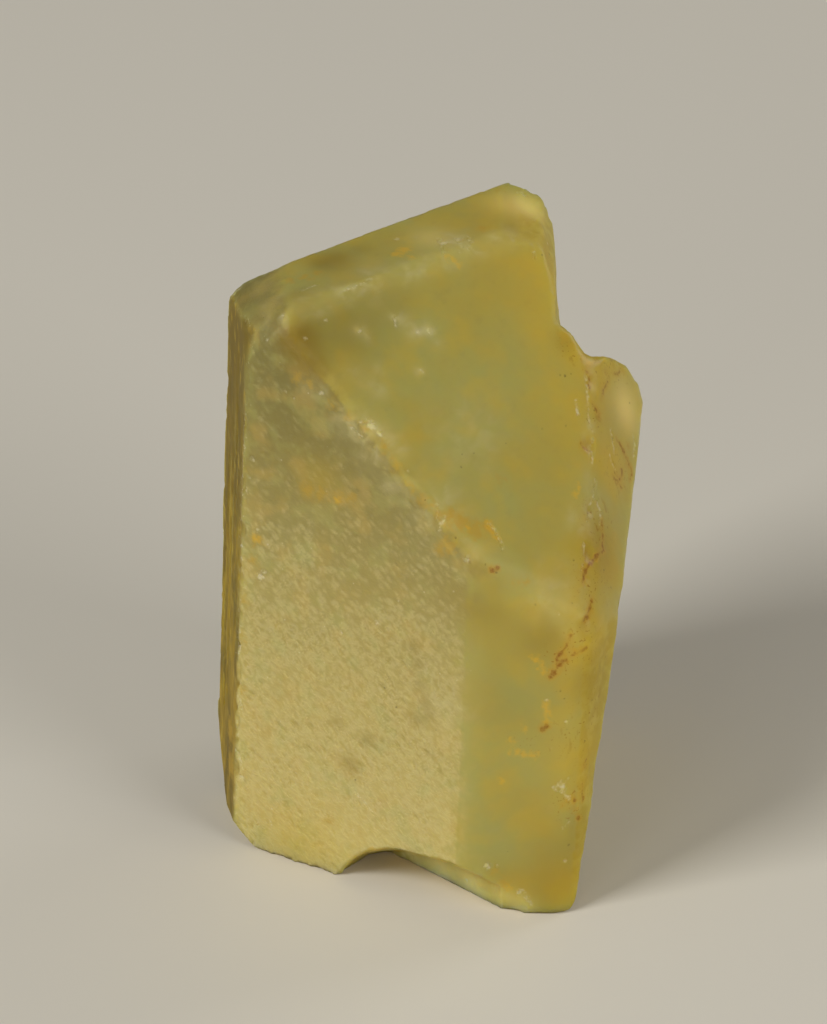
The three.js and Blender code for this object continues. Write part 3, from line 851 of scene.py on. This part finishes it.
def facet_depth(t, place, given):
    """Small slanting facets at odd heights where the stone is chipped."""
    chip_edge, level, slant = (-0.06 * MM, 0.08 * MM), 0.6, 0.8
    away, drawn = t.cells(place, given["Facet Size"])
    chipped = t.fade(noted(t, "frost_and_glints"), *chip_edge)
    return t.times(given["Facet Depth"], t.plus(t.times(drawn, level), t.times(away, slant)), chipped)


# Each relief's depth function and its named sizes.
RELIEFS = {
    "low swells": (swell_depth, {"Swell Size": 2.6 * MM, "Swell Depth": 0.12 * MM}),
    "etch pits": (etch_pit_depth, {
        "Pit Length": 0.8 * MM, "Pit Width": 0.32 * MM, "Pit Depth": 0.13 * MM,
        "Seed": SEED, "Second Seed": SECOND_SEED,
    }),
    "growth lines": (stria_depth, {"Line Spacing": 0.8 * MM, "Line Depth": 0.1 * MM}),
    "broken surface": (break_depth, {"Hollow Size": 2.2 * MM, "Hollow Depth": 0.22 * MM}),
    "worn edges": (wear_depth, {"Edge Reach": 0.5 * MM, "Bite Size": 0.7 * MM, "Bite Depth": 0.2 * MM}),
    "chip facets": (facet_depth, {"Facet Size": 0.28 * MM, "Facet Depth": 0.09 * MM}),
}


def change(piece, tree, finish, sizes):
    """Puts a node tree on the piece, with its finish and its sizes."""
    modifier = piece.modifiers.new(tree.name, "NODES")
    modifier.node_group = tree
    values = {size: float(value) for size, value in sizes.items()} | {"Finish": finish}
    for socket in tree.interface.items_tree:
        if socket.in_out == "INPUT" and socket.name in values:
            modifier[socket.identifier] = values[socket.name]


def mixed(t, share, one, other):
    """One colour, with this share of the other."""
    node = t.put("ShaderNodeMix", data_type="RGBA")
    for socket, value in ((0, share), (6, one), (7, other)):
        t.feed(node.inputs[socket], value)
    return node.outputs[2]


# Colours are linear light.
CLOUDY_OLIVE = (0.49, 0.40, 0.08, 1)
GREEN_CLOUD = (0.45, 0.42, 0.115, 1)
HONEY = (0.67, 0.45, 0.03, 1)
BROWN_OLIVE = (0.25, 0.165, 0.01, 1)
STRIA_GOLD = (0.35, 0.215, 0.01, 1)
STRIA_BROWN = (0.13, 0.08, 0.005, 1)
STRIA_LIGHT = (0.56, 0.37, 0.035, 1)
BROKEN_HONEY = (0.46, 0.31, 0.02, 1)
BROKEN_PALE = (0.62, 0.50, 0.09, 1)
MILKY = (0.66, 0.60, 0.29, 1)
# Pale cream, laid on as painted light and a painted sheen.
LIT_PALE_CREAM = (1.0, 0.76, 0.22, 1)
# The matte face's colours at its top and foot: darker at the top as painted shade, creamier at the foot as
# painted light.
ETCHED_SHADED_TOP = (0.20, 0.17, 0.048, 1)
ETCHED_LIT_FOOT = (0.70, 0.55, 0.18, 1)
ETCHED_TAN = (0.60, 0.42, 0.12, 1)
ETCHED_GREEN = (0.46, 0.46, 0.15, 1)
# Painted shade in the etch pits' deeper parts, and a painted highlight on their rims.
PIT_SHADE = (0.34, 0.29, 0.06, 1)
PIT_RIM_HIGHLIGHT = (0.86, 0.76, 0.36, 1)
TAN = (0.56, 0.35, 0.035, 1)
ORANGE = (0.80, 0.50, 0.03, 1)
IRON = (0.36, 0.18, 0.012, 1)
RUST = (0.30, 0.11, 0.008, 1)
SOOT = (0.10, 0.06, 0.012, 1)
# White of frosted chips, also painted for glints and sparkle.
FROST_AND_GLINT_WHITE = (0.92, 0.86, 0.60, 1)

# The name under which the mesh carries the stone's colour, with the painted shade, light and glow of the
# tints and the matte face.
STONE_COLOUR_AND_LIGHT = "stone colour and painted light"

# Patches of colour: their size, and the noise at which they start and are whole, and for some how detailed
# and warped that is. With them are the shares of the colours laid over one another.
GREEN_CLOUDS = (6 * MM, 0.35, 0.65)
HONEY_CLOUDS = (2 * MM, 0.45, 0.7)
HONEY_CLOUD_SHARE = 0.3
SHARDS = (0.9 * MM, 0.42, 0.68, 4, 0.8)
BROKEN_SHARE = 0.6
# A dark brown band along the matte face's edge with the slope: partly stain, partly painted shade.
STAIN_AND_SHADE_STRETCHES = (0.9 * MM, 0.35, 0.65, 4)
STAIN_AND_SHADE_LEAST = 0.12
STAIN_AND_SHADE_SHARE = 0.5
WISPS = (1.3 * MM, 0.42, 0.72, 4, 0.8)
WISPS_LEAST = 0.25
CLOUDED_SHARE = 0.6
STRIATED_SHARE = 0.25
BROWNED_SHARE = 0.65
TINT_SHARE = 0.85

# The grain of the etched faces' border, and the share of their colours.
BORDER_GRAIN = (0.6 * MM, 1.2, 4)
ETCHED_SHARE = 0.85


def striated_colour(t, place):
    """Gold and brown streaks down the narrow side, browner towards the top."""
    bend_size, bend, broad_size, thin_size, thin_share = 3 * MM, 1.2 * MM, 1.1 * MM, 0.4 * MM, 0.6
    golden, browner, light, dark = (0.35, 0.65), (12 * MM, 40 * MM), (0.55, 0.7), (0.45, 0.3)
    bent = t.bent(place, bend_size, bend)
    broad = t.noise(t.vector("MULTIPLY", bent, (1, 1, 0.14)), broad_size, 3)
    thin = t.noise(t.vector("MULTIPLY", bent, (1, 1, 0.2)), thin_size, 3)
    colour = mixed(t, t.fade(broad, *golden), STRIA_BROWN, STRIA_GOLD)
    colour = mixed(t, t.fade(t.part(place, "Z"), *browner), colour, STRIA_BROWN)
    colour = mixed(t, t.times(t.fade(thin, *light), thin_share), colour, STRIA_LIGHT)
    return mixed(t, t.times(t.fade(thin, *dark), thin_share), colour, STRIA_BROWN)


def etched_colour(t, place):
    """The matte face: darker olive at the top and creamier towards the foot, as painted shade and painted
    light, with tan and green patches, painted shade in the pits and painted highlights on their rims.
    """
    top, foot, patch_share, rim_highlight_share, shade_share = 39 * MM, 1 * MM, 0.4, 0.35, 0.3
    rim_starts, rim_ends, shaded = (0.0, 0.02 * MM), (0.05 * MM, 0.03 * MM), (0.04 * MM, 0.14 * MM)
    # Painted shade at the top of the matte face, fading to painted light at its foot.
    colour = mixed(t, t.fade(t.part(place, "Z"), top, foot), ETCHED_SHADED_TOP, ETCHED_LIT_FOOT)
    tan = t.patches(place, 2.0 * MM, 0.5, 0.7)
    green = t.patches(t.vector("ADD", place, (0.1, 0, 0)), 1.6 * MM, 0.5, 0.7)
    colour = mixed(t, t.times(tan, patch_share), colour, ETCHED_TAN)
    colour = mixed(t, t.times(green, patch_share), colour, ETCHED_GREEN)
    pit = noted(t, "etch pits")
    # A painted highlight on the pits' rims, then painted shade where they are deeper.
    rim = t.times(t.fade(pit, *rim_starts), t.fade(pit, *rim_ends), rim_highlight_share)
    colour = mixed(t, rim, colour, PIT_RIM_HIGHLIGHT)
    return mixed(t, t.times(t.fade(pit, *shaded), shade_share), colour, PIT_SHADE)


def stone_colour_and_painted_light(t, place):
    """The stone's colour: cloudy olive, greener, warmer, browner or milkier by place, with painted shade,
    painted light and a painted glow over it.
    """
    colour = mixed(t, t.patches(place, *GREEN_CLOUDS), CLOUDY_OLIVE, GREEN_CLOUD)
    colour = mixed(t, t.times(t.patches(place, *HONEY_CLOUDS), HONEY_CLOUD_SHARE), colour, HONEY)
    broken = mixed(t, t.patches(place, *SHARDS), BROKEN_HONEY, BROKEN_PALE)
    colour = mixed(t, t.times(noted(t, "broken"), BROKEN_SHARE), colour, broken)
    striated = t.times(noted(t, "striated"), STRIATED_SHARE)
    browned = t.times(noted(t, "browned"), BROWNED_SHARE)
    colour = mixed(t, t.plus(striated, browned), colour, striated_colour(t, place))
    etched = t.fade(t.plus(noted(t, "etched"), t.grain(place, *BORDER_GRAIN)), 0.0, 1.0)
    colour = mixed(t, t.times(etched, ETCHED_SHARE), colour, etched_colour(t, place))
    # The dark band along the matte face's slope edge, partly stain and partly painted shade.
    dirt_and_shade = t.plus(STAIN_AND_SHADE_LEAST, t.times(t.patches(place, *STAIN_AND_SHADE_STRETCHES), STAIN_AND_SHADE_SHARE))
    colour = mixed(t, t.times(noted(t, "stained_and_shaded"), dirt_and_shade), colour, BROWN_OLIVE)
    # Warm honey tints, partly a painted glow.
    colour = mixed(t, t.times(noted(t, "honey"), TINT_SHARE), colour, HONEY)
    # Darker olive-brown tints, partly painted shade.
    colour = mixed(t, t.times(noted(t, "deep"), TINT_SHARE), colour, BROWN_OLIVE)
    # Pale cream, mostly painted light and a painted sheen.
    colour = mixed(t, noted(t, "pale"), colour, LIT_PALE_CREAM)
    cloud = t.math("MAXIMUM", noted(t, "milky"), t.times(noted(t, "clouded"), CLOUDED_SHARE))
    return mixed(t, t.times(cloud, t.at_least(WISPS_LEAST, t.patches(place, *WISPS))), colour, MILKY)


def colour_tree():
    """A node tree that notes the stone's colour, with its painted shade and light, on each point of the mesh.
    """
    t, given, place = piece_tree(STONE_COLOUR_AND_LIGHT)
    coloured = with_note(t, given["Surface"], STONE_COLOUR_AND_LIGHT, stone_colour_and_painted_light(t, place), "FLOAT_COLOR")
    return finished(t, coloured, given["Finish"])


# Iron in cracks: its streaks' and grains' patches, the streaks' share, and where and how much both show.
IRON_STREAKS = (0.45 * MM, 0.57, 0.72)
IRON_GRAINS = (0.2 * MM, 0.62, 0.72, 1)
IRON_STREAK_SHARE = 0.75
IRON_SHOWS = (0.05, 0.7)
IRON_SHARE = 0.8

# Stains: the name of each one's marks, how raggedly their border moves, the depths from the border at which
# the colour starts and is whole, its share, and the colour itself, from the lowest layer to the highest.
# Rust has a tan rim and is grainy.
STAIN_GRAIN = (0.35 * MM, 1.4 * MM)
STAINS = (
    ("tan", 1, -0.35 * MM, 0.45 * MM, 0.6, TAN),
    ("orange", 0.7, -0.2 * MM, 0.25 * MM, 0.55, ORANGE),
    ("rust", 0.4, -0.35 * MM, 0.04 * MM, 0.6, TAN),
    ("rust", 0.4, -0.1 * MM, 0.08 * MM, 0.85, RUST),
    ("speck", 0.15, -0.07 * MM, 0.06 * MM, 0.75, SOOT),
)
RUST_GRAINS = (0.14 * MM, 0.4, 0.6, 1)
RUST_LEAST = 0.65
FROST_AND_GLINT_SHARE = 0.5

# Roughness of the glassy faces, what each other kind of surface adds, and what being dull and frosted add.
GLASSY_ROUGHNESS = 0.3
ROUGHER = {"etched": 0.12, "striated": 0.4, "broken": 0.25}
PALE_BREAK_ROUGHER = 0.3
DULL_ROUGHER = 0.2
FROST_ROUGHER = 0.1

# The height of the fine relief that is lit but not cut.
FINE_RELIEF = 0.035 * MM


def iron_cracks(t, place):
    """Fine brown streaks and grains where iron has crept in."""
    streaks = t.patches(t.vector("MULTIPLY", place, (1, 1, 0.4)), *IRON_STREAKS)
    grains = t.patches(place, *IRON_GRAINS)
    return t.times(shade(t, "iron"), t.math("MAXIMUM", t.times(streaks, IRON_STREAK_SHARE), grains))


def stains(t, place, colour, frost_and_glints):
    """Iron stains, dark specks, and frosted chips with painted glints and sparkle, over the stone's colour
    with its painted shade and light.
    """
    border = t.grain(place, *STAIN_GRAIN)
    iron = t.fade(iron_cracks(t, place), *IRON_SHOWS)
    colour = mixed(t, t.times(iron, IRON_SHARE), colour, IRON)
    for name, raggedness, start, whole, share, stain in STAINS:
        shown = t.fade(t.plus(shade(t, name), t.times(border, raggedness)), start, whole)
        if stain is RUST:
            shown = t.times(shown, t.at_least(RUST_LEAST, t.patches(place, *RUST_GRAINS)))
        colour = mixed(t, t.times(shown, share), colour, stain)
    return mixed(t, t.times(frost_and_glints, FROST_AND_GLINT_SHARE), colour, FROST_AND_GLINT_WHITE)


def frosted(t, place):
    """Where tiny fractures whiten the stone, and painted glints and sparkle: its chips, flecks along worn
    edges that are partly painted sparkle, and odd painted glints.
    """
    shard_size, shard_level, raggedness, chip_edge = 0.28 * MM, 0.55, 0.6 * MM, (-0.1 * MM, 0.16 * MM)
    fleck_levels, fleck_reach = (0.56, 0.68), 0.3 * MM
    spacing, glint_edge, chosen, glint_share = 0.9 * MM, (0.1, 0.04), (0.6, 0.62), 0.6
    shards = t.noise(place, shard_size, 3)
    border = t.times(t.minus(shards, shard_level), raggedness)
    chips = t.fade(t.plus(shade(t, "frost_and_glints"), border), *chip_edge)
    edge = t.fade(shade(t, "edge"), fleck_reach, 0.0)
    # White flecks along chipped edges, partly painted sparkle.
    flecks = t.times(t.fade(shards, *fleck_levels), edge, shade(t, "sparkling"))
    away, drawn = t.cells(place, spacing)
    # Painted glints: white dots scattered over the etched faces.
    glints = t.times(t.fade(away, *glint_edge), t.fade(drawn, *chosen), shade(t, "etched"), glint_share)
    return t.math("MAXIMUM", t.math("MAXIMUM", chips, flecks), glints)


def stone_roughness(t, frost_and_glints):
    """How rough the stone is: least on the glassy faces."""
    value = GLASSY_ROUGHNESS
    for kind, rougher in ROUGHER.items():
        value = t.plus(value, t.times(shade(t, kind), rougher))
    value = t.plus(value, t.times(shade(t, "pale"), shade(t, "broken"), PALE_BREAK_ROUGHER))
    return t.plus(value, t.times(shade(t, "dull"), DULL_ROUGHER), t.times(frost_and_glints, FROST_ROUGHER))


def stone_bump(t, place):
    """Fine pits on the matte face, fine lines on the striated ones, and facets on broken stone and chips."""
    bend_size, bend, length, width, pit_high_up, pit_more = 0.6 * MM, 0.5 * MM, 0.34 * MM, 0.16 * MM, 0.3, 0.3
    grain_size, grain_height, line_spacing = 0.3 * MM, 1.5, 0.2 * MM
    facet_size, chip_edge, broken_height, chip_height = 0.22 * MM, 0.05 * MM, 0.5, 2.0
    along, across = slanting_ways(MATTE, PIT_SLANT)
    flat = on_plane(t, t.bent(place, bend_size, bend, 1), along, across, length, width)
    pit_away, _ = t.cells(flat, dimensions="2D")
    worn = t.plus(pit_high_up, t.times(pit_more, downwards(t, place)))
    pit = t.times(t.fade(pit_away, 0.0, 0.7), shade(t, "pitted"), worn)
    unpitted = t.minus(shade(t, "etched"), shade(t, "pitted"))
    grain = t.times(t.noise(place, grain_size, 2), unpitted, grain_height)
    drawn_out = t.vector("MULTIPLY", place, (1, 1, 0.04))
    line = t.times(t.noise(drawn_out, line_spacing, 1), shade(t, "striated"))
    facet_away, _ = t.cells(place, facet_size)
    chipped = t.fade(shade(t, "frost_and_glints"), -chip_edge, chip_edge)
    faceted = t.plus(t.times(shade(t, "broken"), broken_height), t.times(chipped, chip_height))
    height = t.plus(pit, grain, line, t.times(facet_away, faceted))
    values = {"Height": height, "Strength": 1.0, "Distance": FINE_RELIEF}
    return t.put("ShaderNodeBump", values).outputs["Normal"]


# The stone's plain values: how strongly it bends light, its gloss, how see-through it is, how far each
# colour of light spreads in it, how much less of that the etched faces show, and what it takes up inside.
OPTICS = {
    "IOR": 1.61, "Specular IOR Level": 0.12, "Transmission Weight": 0.3,
    "Subsurface Radius": (1.0, 0.8, 0.25), "Subsurface Scale": 6 * MM,
}
ETCHED_SPREADS_LESS = 0.5
INSIDE = {"Color": (0.96, 0.88, 0.12, 1), "Density": 200}


def topaz():
    """Cloudy yellow-green topaz, partly see-through."""
    material = bpy.data.materials.new("raw topaz")
    material.use_nodes = True
    t = Nodes(material.node_tree)
    shader = material.node_tree.nodes["Principled BSDF"]
    place = t.put("ShaderNodeTexCoord").outputs["Object"]
    frost_and_glints = frosted(t, place)
    colour_and_painted_light = t.put("ShaderNodeAttribute", attribute_name=STONE_COLOUR_AND_LIGHT).outputs["Color"]
    spread = t.minus(1.0, t.times(shade(t, "etched"), ETCHED_SPREADS_LESS))
    driven = {
        "Base Color": stains(t, place, colour_and_painted_light, frost_and_glints), "Roughness": stone_roughness(t, frost_and_glints),
        "Normal": stone_bump(t, place), "Subsurface Weight": spread,
    }
    for socket, value in (OPTICS | driven).items():
        t.feed(shader.inputs[socket], value)
    inside = t.put("ShaderNodeVolumeAbsorption", INSIDE)
    t.feed(material.node_tree.nodes["Material Output"].inputs["Volume"], inside.outputs[0])
    return material


def pale_floor():
    """A large plain floor under the stone."""
    mesh = bpy.data.meshes.new("floor")
    ends = (-FLOOR_REACH, FLOOR_REACH)
    corners = [(ends[i], ends[j], 0) for i, j in ((0, 0), (1, 0), (1, 1), (0, 1))]
    mesh.from_pydata(corners, [], [(0, 1, 2, 3)])
    material = bpy.data.materials.new("pale floor")
    material.use_nodes = True
    shader = material.node_tree.nodes["Principled BSDF"]
    shader.inputs["Base Color"].default_value = FLOOR_COLOUR
    shader.inputs["Roughness"].default_value = FLOOR_ROUGHNESS
    mesh.materials.append(material)
    add(bpy.data.objects.new("floor", mesh))


def softbox(name, place, size, power, glossy):
    """A square soft light that faces the stone."""
    data = bpy.data.lights.new(name, "AREA")
    data.size = size
    data.energy = power
    lamp = add(bpy.data.objects.new(name, data))
    lamp.location = place
    lamp.rotation_euler = (CAMERA_AIM - Vector(place)).to_track_quat("-Z", "Y").to_euler()
    lamp.visible_camera = False
    lamp.visible_glossy = glossy


def studio():
    """Plain soft light all round, and the soft lights."""
    world = bpy.data.worlds.new("studio")
    world.use_nodes = True
    world.node_tree.nodes["Background"].inputs["Color"].default_value = ROOM_COLOUR
    world.node_tree.nodes["Background"].inputs["Strength"].default_value = ROOM_LIGHT
    bpy.context.scene.world = world
    for name, settings in LIGHTS.items():
        softbox(name, *settings)
    bpy.context.scene.view_settings.view_transform = "Standard"


def keep_in_box(mesh):
    """Draws back what the relief has pushed out of the solid's box, so that the stone still stands flat."""
    move_points(mesh, np.clip(vectors_of(mesh.vertices, "co"), *cad_box))


def flatten_facets(mesh):
    """Shades the stone smooth, but its chips' facets flat."""
    mesh.shade_smooth()
    frost_and_glints = np.zeros(len(mesh.vertices), np.float32)
    mesh.attributes["frost_and_glints"].data.foreach_get("value", frost_and_glints)
    for face in mesh.polygons:
        face.use_smooth = max(frost_and_glints[i] for i in face.vertices) < 0


make_camera()
stone = Stone(merged_copy(solid))
crystal = even_surface(stone)
write_surface(crystal.data, stone)
round_edges(crystal, stone)
finish = topaz()
for name, (depth_of, sizes) in RELIEFS.items():
    change(crystal, relief_tree(name, sizes, depth_of), finish, sizes)
change(crystal, colour_tree(), finish, {})
crystal.data = baked(crystal)
keep_in_box(crystal.data)
flatten_facets(crystal.data)
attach(crystal, "root")
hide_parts("topaz_crystal")
pale_floor()
studio()
